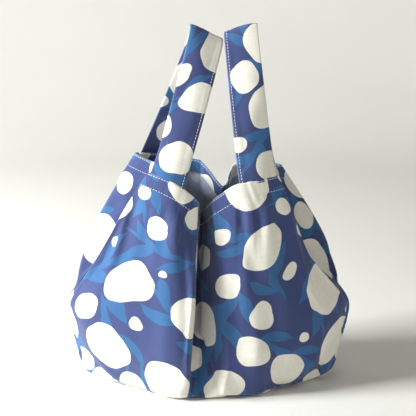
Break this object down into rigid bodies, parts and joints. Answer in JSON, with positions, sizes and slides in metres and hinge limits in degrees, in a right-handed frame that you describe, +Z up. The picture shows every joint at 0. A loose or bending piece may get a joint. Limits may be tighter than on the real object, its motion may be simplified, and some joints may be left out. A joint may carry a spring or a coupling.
{
  "type": "kinchaku style tote bag",
  "caption": "Soft unlined cloth tote on a lens-shaped base, mouth folded in at front, back and sides, with two wide cloth loop handles.",
  "frame": {"origin": "middle of the bag's bounding box at the level of the base", "axes": "+X to the right seen from the front, +Y from the front panel to the back panel, +Z up to the handles"},
  "size_m": [0.3129, 0.1592, 0.3807],
  "materials": {
    "printed_cloth": "plain-weave cotton, printed, matt",
    "strap_cloth": "folded plain-weave cotton, printed, matt",
    "sewing_thread": "twisted white thread"
  },
  "bodies": {
    "root": {"front_panel": "printed_cloth", "back_panel": "printed_cloth", "handle_left": "strap_cloth", "handle_right": "strap_cloth"}
  },
  "joints": []
}
